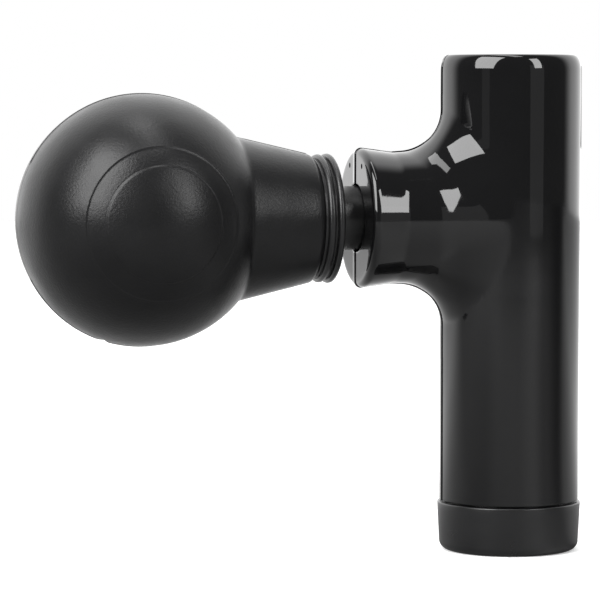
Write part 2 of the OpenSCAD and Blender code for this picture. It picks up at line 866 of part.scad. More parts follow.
left_shell();
right_shell();
end_cap();
shell_screws();
cap_screws();
control_panel();
led_lenses();
control_board();
driver_chips();
speed_leds();
tact_switch();
charge_board();
usb_socket();
battery_cells();
cell_holders();
cell_tabs();
battery_foam();
motor_mount();
mount_screws();
stator_core();
stator_windings();
motor_bearings();
motor_leads();
battery_leads();
guide_sleeve();
damper_rings();
rotor_bell();
rotor_magnets();
motor_shaft();
shaft_clip();
crank_wheel();
counterweight();
connecting_rod();
big_end_bearing();
small_end_bush();
crank_pin();
piston();
wrist_pin();
head_plug();
plug_o_rings();
plug_screw();
collar_disc();
clamp_ring();
neck_core();
massage_ball();
power_button();
switch_plunger();
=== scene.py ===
import json
import math

import bpy
import bmesh
import numpy as np
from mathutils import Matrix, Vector


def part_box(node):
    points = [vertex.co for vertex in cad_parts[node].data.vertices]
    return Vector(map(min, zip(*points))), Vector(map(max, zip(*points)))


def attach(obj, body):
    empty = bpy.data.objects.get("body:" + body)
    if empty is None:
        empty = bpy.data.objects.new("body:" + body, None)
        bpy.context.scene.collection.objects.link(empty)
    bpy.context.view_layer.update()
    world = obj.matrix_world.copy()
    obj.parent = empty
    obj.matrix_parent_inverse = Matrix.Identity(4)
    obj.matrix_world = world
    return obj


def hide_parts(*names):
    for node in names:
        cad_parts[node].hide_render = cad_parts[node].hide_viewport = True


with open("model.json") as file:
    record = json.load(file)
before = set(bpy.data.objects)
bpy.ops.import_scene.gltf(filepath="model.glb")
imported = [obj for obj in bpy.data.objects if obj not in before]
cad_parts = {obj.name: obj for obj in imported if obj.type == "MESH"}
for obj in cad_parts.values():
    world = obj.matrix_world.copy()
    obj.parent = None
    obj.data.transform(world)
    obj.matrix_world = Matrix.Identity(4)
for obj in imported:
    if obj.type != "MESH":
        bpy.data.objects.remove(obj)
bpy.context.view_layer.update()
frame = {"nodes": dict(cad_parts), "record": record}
scene = bpy.context.scene
nodes = frame["nodes"]
MM = 0.001

# ---------- sizes, in millimetres, as in the CAD ----------

body_h = round(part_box("left_shell")[1].z / MM, 3)
shell_z = round(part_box("left_shell")[0].z / MM, 3)
nose_x = round(-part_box("left_shell")[0].x / MM, 3)
cap_rim_r = round(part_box("end_cap")[1].x / MM, 3)
collar_x = round(-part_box("collar_disc")[1].x / MM, 3)
collar_r = round(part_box("collar_disc")[1].y / MM, 3)
disc2_r = round(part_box("clamp_ring")[1].y / MM, 3)
neck_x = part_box("massage_ball")[1].x / MM
ball_r = 35.0
ball_x = -(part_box("massage_ball")[0].x / MM) - ball_r
axis_z = 95.4
grip_r, grip_top_z = 19.9, 74.0
top_r, top_z, top_edge_r, crown_h = 20.2, body_h - 10, 2.0, 4.7
barrel_r, nose_r, waist_x, nose_edge_r = 18.4, 19.6, -34.0, 1.8
lip_x = -nose_x + nose_edge_r
bore_r = 9.6
saddle_r = 12.0
cap_h = shell_z - 0.5
rim_round = 0.22     # rounding of the shells' edges
seam_gap = 0.28       # half of the gap between the two shells
start_y = rim_round + seam_gap
wall = 1.5


# ---------- materials ----------

def socket_set(bsdf, **values):
    for name, value in values.items():
        bsdf.inputs[name.replace("_", " ")].default_value = value


def material(name, color, rough, grain=0.0003, bump=0.0, mottle=0.12, rough_var=0.08,
             scratches=0.0, waves=0.0, **sockets):
    """A moulded or machined finish: fine grain, slow mottling, rubbed and scratched patches."""
    mat = bpy.data.materials.new(name)
    mat.use_nodes = True
    tree = mat.node_tree
    bsdf = tree.nodes["Principled BSDF"]
    new, link = tree.nodes.new, tree.links.new
    where = new("ShaderNodeTexCoord").outputs["Object"]

    def noise(size, detail=2.0, roughness=0.5):
        n = new("ShaderNodeTexNoise")
        n.inputs["Scale"].default_value = 1.0 / size
        n.inputs["Detail"].default_value = detail
        n.inputs["Roughness"].default_value = roughness
        link(where, n.inputs["Vector"])
        return n.outputs["Fac"]

    def remap(value, lo, hi, out_lo, out_hi):
        m = new("ShaderNodeMapRange")
        m.inputs["From Min"].default_value = lo
        m.inputs["From Max"].default_value = hi
        m.inputs["To Min"].default_value = out_lo
        m.inputs["To Max"].default_value = out_hi
        link(value, m.inputs["Value"])
        return m.outputs["Result"]

    tones = new("ShaderNodeMix")
    tones.data_type = "RGBA"
    tones.inputs["A"].default_value = [c * (1 - mottle) for c in color] + [1]
    tones.inputs["B"].default_value = [min(1, c * (1 + mottle)) for c in color] + [1]
    link(remap(noise(0.011, 4.0), 0.3, 0.7, 0, 1), tones.inputs["Factor"])
    link(tones.outputs["Result"], bsdf.inputs["Base Color"])

    smoothest, roughest = max(0.02, rough * (1 - rough_var)), rough * (1 + rough_var)
    link(remap(noise(0.017, 6.0, 0.6), 0.3, 0.75, smoothest, roughest), bsdf.inputs["Roughness"])

    height = None

    def stack(distance, value):
        nonlocal height
        b = new("ShaderNodeBump")
        b.inputs["Distance"].default_value = distance
        link(value, b.inputs["Height"])
        if height is not None:
            link(height, b.inputs["Normal"])
        height = b.outputs["Normal"]

    if waves:
        stack(waves, noise(0.009, 1.0))
    if bump:
        stack(bump, noise(grain, 3.0, 0.6))
    if scratches:
        lines = new("ShaderNodeTexNoise")
        lines.inputs["Scale"].default_value = 1.0 / 0.0012
        lines.inputs["Detail"].default_value = 2.0
        stretch = new("ShaderNodeMapping")
        stretch.inputs["Scale"].default_value = (1.0, 1.0, 0.04)
        stretch.inputs["Rotation"].default_value = (0.2, 0.1, 0.3)
        link(where, stretch.inputs["Vector"])
        link(stretch.outputs["Vector"], lines.inputs["Vector"])
        stack(scratches, remap(lines.outputs["Fac"], 0.62, 0.72, 0, 1))
    if height is not None:
        link(height, bsdf.inputs["Normal"])
    socket_set(bsdf, **sockets)
    return mat


def ring_material(name, color, rough, axis, pitch=0.00012, depth=0.000004, **sockets):
    """Turned or brushed metal with fine marks that run round or along it."""
    mat = material(name, color, rough, bump=0.0, Metallic=1.0, **sockets)
    tree = mat.node_tree
    new, link = tree.nodes.new, tree.links.new
    where = new("ShaderNodeTexCoord").outputs["Object"]
    squeeze = new("ShaderNodeMapping")
    squeeze.inputs["Scale"].default_value = [1.0 if a == axis else 0.03 for a in "XYZ"]
    link(where, squeeze.inputs["Vector"])
    marks = new("ShaderNodeTexNoise")
    marks.inputs["Scale"].default_value = 1.0 / pitch
    marks.inputs["Detail"].default_value = 3.0
    link(squeeze.outputs["Vector"], marks.inputs["Vector"])
    b = new("ShaderNodeBump")
    b.inputs["Distance"].default_value = depth
    link(marks.outputs["Fac"], b.inputs["Height"])
    link(b.outputs["Normal"], tree.nodes["Principled BSDF"].inputs["Normal"])
    return mat


black = (0.0035, 0.0035, 0.0038)
finishes = {
    "gloss_shell": material("gloss_abs", black, 0.045, mottle=0.1, rough_var=0.5,
                            waves=0.00002, scratches=0.0000006, Specular_IOR_Level=0.5),
    "panel_plastic": material("panel_gloss", (0.004, 0.004, 0.0045), 0.1, mottle=0.1,
                              rough_var=0.3, waves=0.00001),
    "cap_plastic": material("cap_satin", (0.007, 0.007, 0.0075), 0.3, grain=0.00016,
                            bump=0.000018, mottle=0.2, rough_var=0.12),
    "button_rubber": material("button_soft", (0.028, 0.028, 0.03), 0.6, grain=0.00012,
                              bump=0.000012),
    "ball_rubber": material("ball_skin", (0.006, 0.006, 0.0064), 0.34, grain=0.0007,
                            bump=0.00006, mottle=0.16, rough_var=0.18, waves=0.00012,
                            Specular_IOR_Level=0.28),
    "head_plastic": material("head_satin", (0.006, 0.006, 0.0064), 0.34, grain=0.00014,
                             bump=0.000014, mottle=0.16, rough_var=0.12),
    "o_ring": material("o_ring_nitrile", (0.01, 0.01, 0.01), 0.35, grain=0.0001, bump=0.000004),
    "damper_rubber": material("damper", (0.03, 0.03, 0.03), 0.75, grain=0.0003, bump=0.00002),
    "screw_steel": ring_material("zinc_screw", (0.56, 0.57, 0.6), 0.3, "Z"),
    "ground_steel": ring_material("ground_steel", (0.6, 0.6, 0.62), 0.18, "Y"),
    "wheel_steel": ring_material("turned_steel", (0.45, 0.45, 0.47), 0.3, "Y"),
    "lamination": ring_material("lamination_stack", (0.22, 0.22, 0.24), 0.5, "Y",
                                pitch=0.0003, depth=0.00003),
    "magnet": material("magnet_nickel", (0.4, 0.4, 0.42), 0.3, grain=0.0002, bump=0.000004,
                       Metallic=1.0),
    "copper_wire": ring_material("winding", (0.62, 0.27, 0.1), 0.3, "Y",
                                 pitch=0.00035, depth=0.00008),
    "brass_weight": ring_material("weight_brass", (0.66, 0.5, 0.22), 0.3, "Y"),
    "bronze": material("sintered_bronze", (0.5, 0.32, 0.14), 0.45, grain=0.0001,
                       bump=0.00001, Metallic=1.0),
    "machined_aluminium": ring_material("machined_alloy", (0.74, 0.75, 0.77), 0.28, "X"),
    "sleeve_plastic": material("acetal", (0.74, 0.72, 0.66), 0.4, grain=0.0003, bump=0.000008,
                               Subsurface_Weight=0.05),
    "board_green": material("solder_mask", (0.012, 0.11, 0.045), 0.3, grain=0.0008,
                            bump=0.00001, Coat_Weight=0.4),
    "chip_black": material("epoxy_chip", (0.02, 0.02, 0.021), 0.5, grain=0.0001, bump=0.000008),
    "led_white": material("led_body", (0.85, 0.84, 0.74), 0.4, grain=0.0002, bump=0.000004),
    "lens": material("frosted_lens", (0.55, 0.58, 0.62), 0.28, grain=0.0001, bump=0.000005,
                     Transmission_Weight=0.6, IOR=1.49),
    "tin_can": ring_material("tinned_can", (0.66, 0.66, 0.67), 0.3, "X"),
    "cell_sleeve": material("cell_sleeve", (0.03, 0.11, 0.33), 0.3, grain=0.002, bump=0.00003),
    "holder_plastic": material("holder", (0.8, 0.8, 0.77), 0.5, grain=0.0002, bump=0.00001),
    "nickel_strip": ring_material("nickel_strip", (0.66, 0.64, 0.6), 0.25, "X"),
    "foam": material("cell_foam", (0.06, 0.06, 0.06), 0.95, grain=0.0006, bump=0.0002),
    "lead_red": material("lead_red", (0.45, 0.02, 0.015), 0.45, grain=0.0003, bump=0.00001),
    "lead_black": material("lead_black", (0.015, 0.015, 0.015), 0.45, grain=0.0003,
                           bump=0.00001),
}
for sub in frame["record"]["subparts"]:
    o = nodes[sub["node"]]
    o.data.materials.clear()
    o.data.materials.append(finishes[sub["material_slot"]])


# ---------- mesh helpers ----------

def unit(v):
    return v / np.maximum(np.linalg.norm(v, axis=-1, keepdims=True), 1e-12)


class Sheet:
    """Points and quads of an open surface, gathered row by row."""

    def __init__(self):
        self.points, self.faces = [], []

    def add(self, pts):
        start = len(self.points)
        self.points.extend(np.asarray(pts, float).tolist())
        return list(range(start, len(self.points)))

    def strip(self, a, b, closed=False):
        n = len(a)
        for i in range(n if closed else n - 1):
            j = (i + 1) % n
            quad = [a[i], a[j], b[j], b[i]]
            quad = [v for k, v in enumerate(quad) if v != quad[k - 1]]
            if len(set(quad)) > 2:
                self.faces.append(quad)


def make_object(name, points, faces, body, slot_name, replaces, smooth=32):
    mesh = bpy.data.meshes.new(name)
    mesh.from_pydata([[c * MM for c in p] for p in points], [], faces)
    mesh.validate()
    bm = bmesh.new()
    bm.from_mesh(mesh)
    bmesh.ops.remove_doubles(bm, verts=bm.verts, dist=2e-7)
    bmesh.ops.recalc_face_normals(bm, faces=bm.faces)
    bm.to_mesh(mesh)
    bm.free()
    obj = bpy.data.objects.new(name, mesh)
    scene.collection.objects.link(obj)
    obj.data.materials.append(finishes[slot_name])
    shade(obj, smooth)
    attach(obj, body)
    if replaces:
        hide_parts(replaces)
    return obj


def shade(obj, angle):
    mesh = obj.data
    mesh.polygons.foreach_set("use_smooth", [True] * len(mesh.polygons))
    mesh.set_sharp_from_angle(angle=math.radians(angle))


def apply_modifiers(obj):
    dg = bpy.context.evaluated_depsgraph_get()
    done = bpy.data.meshes.new_from_object(obj.evaluated_get(dg))
    obj.modifiers.clear()
    obj.data = done


def boolean(obj, cutter_points, cutter_faces, op="DIFFERENCE"):
    """Cuts or joins closed solids given in millimetres, and applies the result."""
    mesh = bpy.data.meshes.new("cutter")
    mesh.from_pydata([[c * MM for c in p] for p in cutter_points], [], cutter_faces)
    bm = bmesh.new()
    bm.from_mesh(mesh)
    bmesh.ops.recalc_face_normals(bm, faces=bm.faces)
    bm.to_mesh(mesh)
    bm.free()
    cutter = bpy.data.objects.new("cutter", mesh)
    scene.collection.objects.link(cutter)
    mod = obj.modifiers.new("cut", "BOOLEAN")
    mod.operation, mod.solver, mod.object = op, "EXACT", cutter
    mod.use_self = False
    bpy.context.view_layer.update()
    apply_modifiers(obj)
    bpy.data.objects.remove(cutter)


def tube_solid(centre, axis, r, h0, h1, n=40, r_end=None):
    """Closed cylinder or cone along an axis ('X', 'Y' or 'Z'), from h0 to h1, as points and faces."""
    k = "XYZ".index(axis)
    a, b = [i for i in range(3) if i != k]
    pts = []
    for h, rr in ((h0, r), (h1, r if r_end is None else r_end)):
        for i in range(n):
            t = 2 * math.pi * i / n
            p = [0, 0, 0]
            p[k] = h
            p[a] = centre[a] + rr * math.cos(t)
            p[b] = centre[b] + rr * math.sin(t)
            pts.append(p)
    return pts, prism_faces(n)


def prism_faces(n):
    """Faces of a closed solid whose points are two rings of n."""
    sides = [[i, (i + 1) % n, n + (i + 1) % n, n + i] for i in range(n)]
    return sides + [list(range(n))[::-1], list(range(n, 2 * n))]


def prism(outline, x0, x1):
    """Closed solid from x0 to x1 along X with the given outline of (y, z)."""
    pts = [[x, y, z] for x in (x0, x1) for y, z in outline]
    return pts, prism_faces(len(outline))


def joined(*solids):
    pts, faces = [], []
    for p, f in solids:
        base = len(pts)
        pts += p
        faces += [[i + base for i in face] for face in f]
    return pts, faces


def lathe(name, profile, axis, centre, n, body, slot_name, replaces, smooth=32):
    """Closed solid of revolution. profile is a list of (h, r) from axis to axis, or a closed loop."""
    k = "XYZ".index(axis)
    a, b = [i for i in range(3) if i != k]
    loop = profile[0][1] > 1e-6
    sheet = Sheet()
    rows = []
    for h, r in profile:
        count = 1 if r < 1e-6 else n
        ring = []
        for i in range(count):
            t = 2 * math.pi * (i + 0.5) / n
            p = [0, 0, 0]
            p[k] = h
            p[a] = centre[a] + r * math.cos(t)
            p[b] = centre[b] + r * math.sin(t)
            ring.append(p)
        ids = sheet.add(ring)
        rows.append(ids * n if count == 1 else ids)
    for u, v in zip(rows, rows[1:] + ([rows[0]] if loop else [])):
        sheet.strip(u, v, closed=True)
    return make_object(name, sheet.points, sheet.faces, body, slot_name, replaces, smooth)


def arc(cx, cy, r, a0, a1, n):
    """Points (x, y) on an arc, angles in degrees."""
    return [(cx + r * math.cos(math.radians(a0 + (a1 - a0) * i / n)),
             cy + r * math.sin(math.radians(a0 + (a1 - a0) * i / n))) for i in range(n + 1)]


def rounded_outline(half_w, z0, z1, r):
    """Rectangle in (y, z) with round corners."""
    corners = [(half_w - r, z0 + r, -90), (half_w - r, z1 - r, 0),
               (-half_w + r, z1 - r, 90), (-half_w + r, z0 + r, 180)]
    return [p for y, z, a in corners for p in arc(y, z, r, a, a + 90, 6)]


def blend_field(a, n1, b, n2, radius):
    """Union of two distance fields with a rolling-ball fillet of the given radius."""
    c = np.sum(n1 * n2, axis=1)
    den = 1 - c * c
    ok = den > 1e-3
    safe = np.where(ok, den, 1)
    u = ((radius - a) - c * (radius - b)) / safe
    v = ((radius - b) - c * (radius - a)) / safe
    dist = np.sqrt(np.maximum(u * u + v * v + 2 * u * v * c, 1e-12))
    return np.where(ok & (u > 0) & (v > 0), radius - dist, np.minimum(a, b))


def project(p, field, fixed_y, rounds=6):
    """Moves points onto field = 0. Points with fixed_y only move in the XZ plane."""
    h = 1e-3
    for _ in range(rounds):
        f = field(p)
        g = np.stack([(field(p + d) - field(p - d)) / (2 * h)
                      for d in np.eye(3) * h], axis=1)
        g[fixed_y, 1] = 0
        step = f[:, None] * g / np.maximum(np.sum(g * g, axis=1, keepdims=True), 1e-4)
        size = np.linalg.norm(step, axis=1, keepdims=True)
        p = p - step * np.minimum(1, 2.0 / np.maximum(size, 1e-9))
    return p


def relax(sheet, free, seam, field, rounds=50):
    """Evens out the free points on the field's surface. Seam points slide along the seam."""
    pts = np.array(sheet.points)
    pairs = set()
    for f in sheet.faces:
        for i in range(len(f)):
            pairs.add((min(f[i], f[i - 1]), max(f[i], f[i - 1])))
    pairs = np.array(sorted(pairs))
    seam_mask = np.zeros(len(pts), bool)
    seam_mask[list(seam)] = True
    free = np.array(sorted(free))
    free_seam = seam_mask[free]
    a, b = pairs[:, 0], pairs[:, 1]
    weight_ab = np.where(seam_mask[a] & ~seam_mask[b], 0.0, 1.0)
    weight_ba = np.where(seam_mask[b] & ~seam_mask[a], 0.0, 1.0)
    for _ in range(rounds):
        total = np.zeros_like(pts)
        count = np.zeros(len(pts))
        np.add.at(total, a, pts[b] * weight_ab[:, None])
        np.add.at(count, a, weight_ab)
        np.add.at(total, b, pts[a] * weight_ba[:, None])
        np.add.at(count, b, weight_ba)
        moved = pts[free] * 0.4 + 0.6 * total[free] / count[free][:, None]
        moved[free_seam, 1] = pts[free][free_seam, 1]
        pts[free] = project(moved, field, free_seam, 2)
    pts[free] = project(pts[free], field, free_seam, 8)
    sheet.points = pts.tolist()


def point_normals(points, faces):
    pts = np.array(points)
    normals = np.zeros_like(pts)
    for f in faces:
        c = pts[f]
        n = np.zeros(3)
        for i in range(1, len(f) - 1):
            n += np.cross(c[i] - c[0], c[i + 1] - c[0])
        for i in f:
            normals[i] += n
    return unit(normals)


# ---------- casing: two glossy half shells that meet on the XZ plane ----------

def handle_radius(z):
    return np.where(z < grip_top_z, grip_r,
                    grip_r + (top_r - grip_r) * (z - grip_top_z) / (top_z - grip_top_z))


def swell(x):
    """The barrel's slight growth from its waist towards the handle."""
    return np.interp(x, [-36.5, -35.5, -34.5, -27.2, -25.8, -24.6, -21.6, -20.4, -18],
                     [0, 0.015, 0.06, 0.53, 0.58, 0.55, 0.4, 0.36, 0.36])


def casing_field(p):
    x, y, z = p.T
    rho = np.maximum(np.hypot(x, y), 1e-9)
    dz = z - axis_z
    s = np.maximum(np.hypot(y, dz), 1e-9)
    a = rho - handle_radius(z)
    b = np.where(x < 0, s - barrel_r - swell(x), 99.0)
    zero = np.zeros_like(x)
    n1 = np.stack([x / rho, y / rho, zero], axis=1)
    n2 = np.stack([zero, y / s, dz / s], axis=1)
    radius = saddle_r * (1 + 0.5 * (y / s) ** 2)
    return np.where(x < 0, blend_field(a, n1, b, n2, radius), a)


def spread(n, near, length):
    """Fractions 0 to 1 in n steps, with one extra close step at each end."""
    k = near / length
    inner = np.linspace(k, 1 - k, n - 1)
    return np.concatenate([[0], inner, [1]])


def half_ring(r, fractions, along="Z", level=0.0):
    """Half circle on the -Y side, from seam to seam, about the handle (Z) or the barrel (X)."""
    a0 = math.asin(min(1, start_y / r))
    t = a0 + (math.pi - 2 * a0) * fractions
    if along == "Z":
        return np.stack([-r * np.cos(t), -r * np.sin(t), np.full_like(t, level)], axis=1)
    return np.stack([np.full_like(t, level), -r * np.sin(t), axis_z + r * np.cos(t)], axis=1)


def casing_half():
    """The handle's half shell has a hole where the barrel joins, and rings of points lead from the
    hole's border over the fillet to the barrel and on to the bore in its nose."""
    sheet = Sheet()
    around, edge_step = 60, 0.2
    cols = spread(around, edge_step, math.pi * grip_r)
    patch_half, patch_angle, sleeve_x = 32.0, 82, -32.4
    patch_col = int(np.argmin(np.abs(cols * 180 - patch_angle)))
    low = np.concatenate([[shell_z + rim_round, shell_z + rim_round + 0.25],
                          np.linspace(shell_z + 1.3, axis_z - patch_half, 46)])
    mid = np.linspace(axis_z - patch_half, axis_z + patch_half, 61)[1:]
    high = np.linspace(axis_z + patch_half, body_h - crown_h, 13)[1:]
    rows = [(grip_r if z < grip_top_z else float(handle_radius(np.array(z))) if z < top_z
             else top_r, z) for z in np.concatenate([low, mid, high])]
    rows += [(top_r - top_edge_r + r * top_edge_r, body_h - crown_h + z * crown_h)
             for r, z in arc(0, 0, 1, 0, 90, 16)[1:]]
    rows += [(r, body_h) for r in np.linspace(top_r - top_edge_r, 0.9, 16)[1:]]
    j0, j1 = len(low) - 1, len(low) - 1 + len(mid)
    grid, seam = [], set()
    for j, (r, z) in enumerate(rows):
        pts = half_ring(r, cols, along="Z", level=z)
        if j0 < j < j1:
            ids = [None] * patch_col + sheet.add(pts[patch_col:])
        else:
            ids = sheet.add(pts)
        seam.update(i for i in (ids[0], ids[-1]) if i is not None)
        grid.append(ids)
    top = sheet.add([[0, -start_y, body_h]])[0]
    seam.add(top)
    for j in range(len(grid) - 1):
        a, b = grid[j], grid[j + 1]
        first = patch_col if j0 <= j < j1 else 0
        sheet.strip(a[first:], b[first:])
    sheet.strip(grid[-1], [top] * len(cols))

    path = (grid[j1][:patch_col] + [grid[j][patch_col] for j in range(j1, j0 - 1, -1)]
            + grid[j0][:patch_col][::-1])
    ring_f = spread(len(path) - 1, edge_step, math.pi * barrel_r)
    free, steps = set(), 24
    start = np.array(sheet.points)[path]
    end = half_ring(barrel_r + swell(sleeve_x), ring_f, along="X", level=sleeve_x)
    row = path
    for t in np.linspace(0, 1, steps + 1)[1:]:
        ids = sheet.add(start * (1 - t) + end * t)
        if t < 1:
            free.update(ids)
        seam.update((ids[0], ids[-1]))
        sheet.strip(ids, row)
        row = ids
    pts = np.array(sheet.points)
    for i in free:
        pts[i, 1] = min(pts[i, 1], -start_y)
    for i in seam:
        pts[i, 1] = -start_y
    sheet.points = pts.tolist()
    flare_x = waist_x - 1
    barrel = [(barrel_r + swell(x) + (nose_r - barrel_r) * max(0, flare_x - x) / (flare_x - lip_x), x)
              for x in np.linspace(sleeve_x - 0.8, lip_x, 16)]
    barrel += [(nose_r - nose_edge_r + nose_edge_r * math.cos(a), lip_x - nose_edge_r * math.sin(a))
               for a in np.linspace(0, math.pi / 2, 8)[1:]]
    barrel += [(r, -nose_x) for r in (16.6, 15.4, 14.2, 13.0, 11.9, 10.9,
                                      bore_r + rim_round + 0.25, bore_r + rim_round)]
    for r, x in barrel:
        ids = sheet.add(half_ring(r, ring_f, along="X", level=x))
        seam.update((ids[0], ids[-1]))
        sheet.strip(ids, row)
        row = ids
    relax(sheet, free, seam, casing_field)
    close_shell(sheet, row, grid[0], seam)
    return sheet


def close_shell(sheet, bore_row, bottom_row, seam):
    """Adds the rounded rims, the wall's edge and the inner surface, so that the shell is solid."""
    pts = np.array(sheet.points)
    faces = list(sheet.faces)
    n = point_normals(sheet.points, faces)
    side = bottom_row[len(bottom_row) // 2]
    if np.sum(n[side] * pts[side] * [1, 1, 0]) < 0:
        faces = [f[::-1] for f in faces]
        n = -n
    seam = list(seam)
    n[seam, 1] = 0
    n[bottom_row, 2] = 0
    n = unit(n)
    out = np.zeros_like(pts)
    out[seam, 1] += 1
    out[bottom_row, 2] += -1
    inward = (np.array([0, 0, axis_z]) - pts[bore_row]) * [0, 1, 1]
    out[bore_row] += unit(inward)
    edges = dict.fromkeys((f[i], f[(i + 1) % len(f)]) for f in faces for i in range(len(f)))
    border = {a: b for a, b in edges if (b, a) not in edges}
    loop = [next(iter(border))]
    while len(loop) < len(border):
        loop.append(border[loop[-1]])
    assert border[loop[-1]] == loop[0] and len(set(loop)) == len(loop)
    loop = np.array(loop)
    all_points = pts.tolist()
    all_faces = list(faces)
    previous = list(loop)
    layers = [(math.sin(a), 1 - math.cos(a)) for a in np.linspace(0, math.pi / 2, 6)[1:]]
    rows = [pts[loop] + out[loop] * rim_round * s - n[loop] * rim_round * c for s, c in layers]
    # the groove at the seam is shallower at the crown, where a deep one would show as a notch
    deep, shallow = 0.7, 0.4
    groove = np.interp(pts[loop, 2], [body_h - 2.5, body_h - 0.5], [deep, shallow])[:, None]
    rows.append(pts[loop] + out[loop] * rim_round - n[loop] * groove)
    lip = out[loop] * [0, 1, 0] * (seam_gap - 0.01)
    rows.append(rows[-1] + lip)
    inner = pts - n * wall
    inner[loop] += out[loop] * rim_round + lip
    for r in rows:
        ids = list(range(len(all_points), len(all_points) + len(loop)))
        all_points += r.tolist()
        for i in range(len(loop)):
            j = (i + 1) % len(loop)
            all_faces.append([previous[i], ids[i], ids[j], previous[j]])
        previous = ids
    base = len(all_points)
    all_points += inner.tolist()
    for i in range(len(loop)):
        j = (i + 1) % len(loop)
        all_faces.append([previous[i], base + loop[i], base + loop[j], previous[j]])
    all_faces += [[base + i for i in f[::-1]] for f in faces]
    sheet.points, sheet.faces = all_points, [[int(i) for i in f] for f in all_faces]


def smooth(t):
    t = np.clip(t, 0, 1)
    return t * t * (3 - 2 * t)


def proud(points, step, close, far):
    """Lifts the surface near the seam, so that this half stands a little proud of the other. The
    step fades out at the handle's crown."""
    rise, fade_depth, fade_len, foot_z, root_x = 0.12, 3.5, 3, 24, -26
    p = np.array(points)
    y = np.abs(p[:, 1])
    lift = step * smooth((y - close) / rise + 1) * (1 - smooth((y - close) / (far - close)))
    # the nearest points on the handle's axis and on the barrel's
    upright = np.stack([0 * y, 0 * y, np.clip(p[:, 2], foot_z, body_h - top_r)], axis=1)
    level = np.stack([np.clip(p[:, 0], root_x, 0), 0 * y, 0 * y + axis_z], axis=1)
    d1, d2 = (p - upright) * [1, 0, 1], (p - level) * [1, 0, 1]
    near = np.linalg.norm(d1, axis=1) < np.linalg.norm(d2, axis=1)
    lift *= 1 - smooth((p[:, 2] - body_h + fade_depth) / fade_len)
    return (p + unit(np.where(near[:, None], d1, d2)) * lift[:, None]).tolist()


half = casing_half()
left = make_object("casing_left", half.points, half.faces, "housing", "gloss_shell",
                   "left_shell")
seam_step, seam_reach = 0.3, 3.2
mirrored = [[x, -y, z] for x, y, z in half.points]
right = make_object("casing_right", proud(mirrored, seam_step, start_y, seam_reach),
                    [f[::-1] for f in half.faces], "housing", "gloss_shell", "right_shell")

# the panel's recess, the vents in the nose, and on one side the screws' recesses
panel_half_w, panel_z0, panel_z1 = 7.4, 114.6, 138.4
panel_corner, panel_gap = 1.6, 0.12
vent_y, vent_rise, vent_r = 6.3, 14.7, 0.75
screws = [(-8, 131), (-11.5, 79), (12.2, 79), (-9.5, 22), (9.5, 22)]
screw_recess_r, screw_seat_y = 2.25, 10.6
post_r, post_hole_r, post_y0, post_y1 = 2.9, 2.3, 9.8, 11.0
recess = prism(rounded_outline(panel_half_w + panel_gap, panel_z0 - panel_gap,
                               panel_z1 + panel_gap, panel_corner + 0.1), 14, 26)
for obj, side in ((left, -1), (right, 1)):
    vent = tube_solid((0, vent_y * side, axis_z + vent_rise), "X", vent_r, -50, -40, 20)
    boolean(obj, *joined(recess, vent))
boolean(right, *joined(*[tube_solid((x, 0, z), "Y", screw_recess_r, screw_seat_y, 24, 36)
                         for x, z in screws]))


def screw_post(name, px, pz):
    """The moulded cup that a screw sits in, inside the right half. Its rim follows the wall."""
    n = 32
    t = np.arange(n) * 2 * math.pi / n
    sheet = Sheet()

    def circle(r, y=None):
        x, z = px + r * np.cos(t), pz + r * np.sin(t)
        follow = np.sqrt((handle_radius(z) - 0.7) ** 2 - x * x)
        return np.stack([x, follow if y is None else np.full_like(x, y), z], axis=1)

    rows = [sheet.add([[px, post_y0, pz]]) * n]
    rows += [sheet.add(circle(*c)) for c in ((post_r, post_y0), (post_r,), (post_hole_r,),
                                             (post_hole_r, post_y1))]
    rows.append(sheet.add([[px, post_y1, pz]]) * n)
    for u, v in zip(rows, rows[1:]):
        sheet.strip(u, v, closed=True)
    make_object(name, sheet.points, sheet.faces, "housing", "gloss_shell", None)


for k, (x, z) in enumerate(screws):
    screw_post("screw_post_%d" % k, x, z)


def exact_normals(obj, field):
    """Takes the outer surface's shading from the field itself, and leaves the rest as it is."""
    surface_gap, low_z, front_x, same_way = 0.02, 55, -2, 0.96
    mesh = obj.data
    co = np.empty(len(mesh.vertices) * 3)
    mesh.vertices.foreach_get("co", co)
    co = co.reshape(-1, 3) / MM
    h = 1e-3
    n = unit(np.stack([(field(co + d) - field(co - d)) / (2 * h) for d in np.eye(3) * h], axis=1))
    on = (np.abs(field(co)) < surface_gap) & (co[:, 0] < front_x)
    on &= (co[:, 2] > low_z) & (co[:, 2] < top_z - 1)
    loop_vertex = np.empty(len(mesh.loops), int)
    mesh.loops.foreach_get("vertex_index", loop_vertex)
    face_n = np.empty(len(mesh.polygons) * 3)
    mesh.polygons.foreach_get("normal", face_n)
    sides = np.empty(len(mesh.polygons), int)
    mesh.polygons.foreach_get("loop_total", sides)
    face_n = np.repeat(face_n.reshape(-1, 3), sides, axis=0)
    wanted = n[loop_vertex]
    use = on[loop_vertex] & (np.sum(wanted * face_n, axis=1) > same_way)
    mesh.normals_split_custom_set((wanted * use[:, None]).tolist())


for obj in (left, right):
    shade(obj, 32)
    exact_normals(obj, casing_field)

# ---------- end cap ----------

